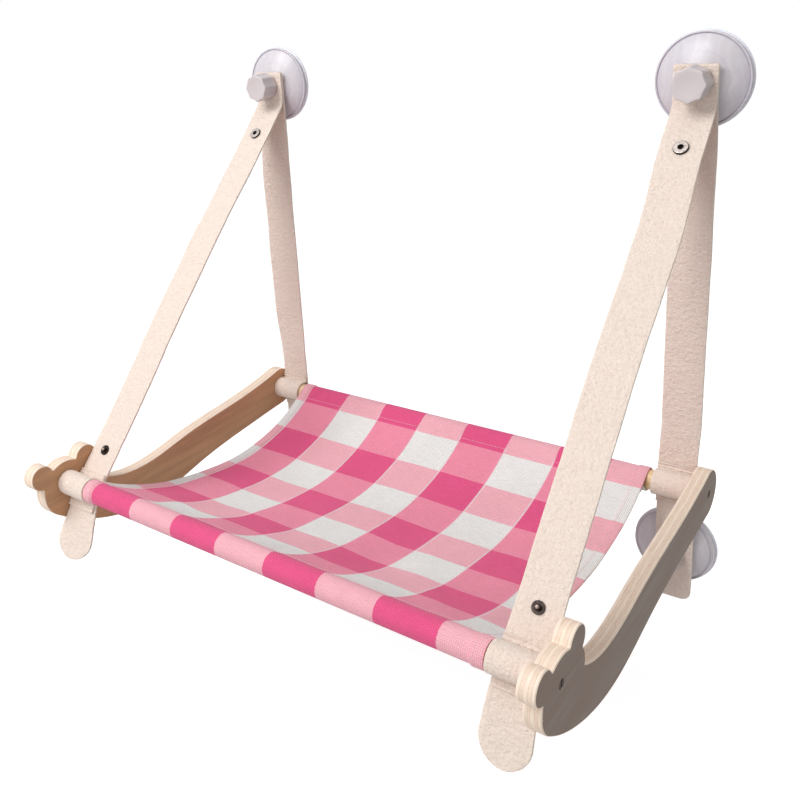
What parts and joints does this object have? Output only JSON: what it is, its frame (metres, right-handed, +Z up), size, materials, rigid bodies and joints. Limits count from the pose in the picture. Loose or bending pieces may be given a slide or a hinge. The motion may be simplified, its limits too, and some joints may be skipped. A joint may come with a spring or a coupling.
{
  "type": "window mounted cat perch",
  "caption": "Folding cat perch: gingham cloth sling on two wooden dowels between plywood side panels, hung by felt straps from screw-down suction cups.",
  "frame": {"origin": "on the window's inner face, midway between the middles of the two upper suction cups", "axes": "+Z up, +Y out through the window, +X to the right as seen from the room"},
  "size_m": [0.545, 0.3898, 0.538],
  "materials": {
    "gingham_cloth": "woven pink and white gingham",
    "cream_felt": "matt cream felt",
    "turned_wood": "smooth unvarnished",
    "birch_plywood": "sanded, plies seen on the edges",
    "soft_cup": "milky soft plastic",
    "white_plastic": "satin moulded",
    "zinc_steel": "zinc plated",
    "dark_snap_metal": "dark nickel"
  },
  "bodies": {
    "window_side": {"suction_cup_upper_left": "soft_cup", "cup_stud_upper_left": "zinc_steel", "cup_cover_upper_left": "white_plastic", "suction_cup_upper_right": "soft_cup", "cup_stud_upper_right": "zinc_steel", "cup_cover_upper_right": "white_plastic", "suction_cup_lower_left": "soft_cup", "cup_stud_lower_left": "zinc_steel", "cup_cover_lower_left": "white_plastic", "suction_cup_lower_right": "soft_cup", "cup_stud_lower_right": "zinc_steel", "cup_cover_lower_right": "white_plastic", "rear_strap_left": "cream_felt", "rear_loop_left": "cream_felt", "front_strap_left": "cream_felt", "snap_socket_left": "dark_snap_metal", "snap_socket_cap_left": "dark_snap_metal", "rear_strap_right": "cream_felt", "rear_loop_right": "cream_felt", "front_strap_right": "cream_felt", "snap_socket_right": "dark_snap_metal", "snap_socket_cap_right": "dark_snap_metal"},
    "folding_frame": {"hammock_cloth": "gingham_cloth", "front_dowel": "turned_wood", "rear_dowel": "turned_wood", "side_panel_left": "birch_plywood", "front_loop_left": "cream_felt", "snap_ball_left": "dark_snap_metal", "snap_ball_cap_left": "dark_snap_metal", "panel_screw_rear_left": "zinc_steel", "panel_screw_front_left": "zinc_steel", "side_panel_right": "birch_plywood", "front_loop_right": "cream_felt", "snap_ball_right": "dark_snap_metal", "snap_ball_cap_right": "dark_snap_metal", "panel_screw_rear_right": "zinc_steel", "panel_screw_front_right": "zinc_steel"},
    "knob_upper_left": {"clamp_knob_upper_left": "white_plastic", "knob_nut_upper_left": "zinc_steel"},
    "knob_upper_right": {"clamp_knob_upper_right": "white_plastic", "knob_nut_upper_right": "zinc_steel"},
    "knob_lower_left": {"clamp_knob_lower_left": "white_plastic", "knob_nut_lower_left": "zinc_steel"},
    "knob_lower_right": {"clamp_knob_lower_right": "white_plastic", "knob_nut_lower_right": "zinc_steel"}
  },
  "joints": [
    {"name": "frame_fold", "type": "hinge", "parent": "window_side", "child": "folding_frame", "pos_m": [0, -0.0293, -0.367], "axis": [-1, 0, 0], "range_deg": [0, 72], "deforming": ["front_strap_left", "front_strap_right"]},
    {"name": "knob_turn_upper_left", "type": "hinge", "parent": "window_side", "child": "knob_upper_left", "pos_m": [-0.2305, -0.0219, 0], "axis": [0, 1, 0], "range_deg": [-720, 180]},
    {"name": "knob_turn_upper_right", "type": "hinge", "parent": "window_side", "child": "knob_upper_right", "pos_m": [0.2305, -0.0219, 0], "axis": [0, 1, 0], "range_deg": [-720, 180]},
    {"name": "knob_turn_lower_left", "type": "hinge", "parent": "window_side", "child": "knob_lower_left", "pos_m": [-0.2325, -0.0196, -0.448], "axis": [0, 1, 0], "range_deg": [-720, 180]},
    {"name": "knob_turn_lower_right", "type": "hinge", "parent": "window_side", "child": "knob_lower_right", "pos_m": [0.2325, -0.0196, -0.448], "axis": [0, 1, 0], "range_deg": [-720, 180]}
  ]
}
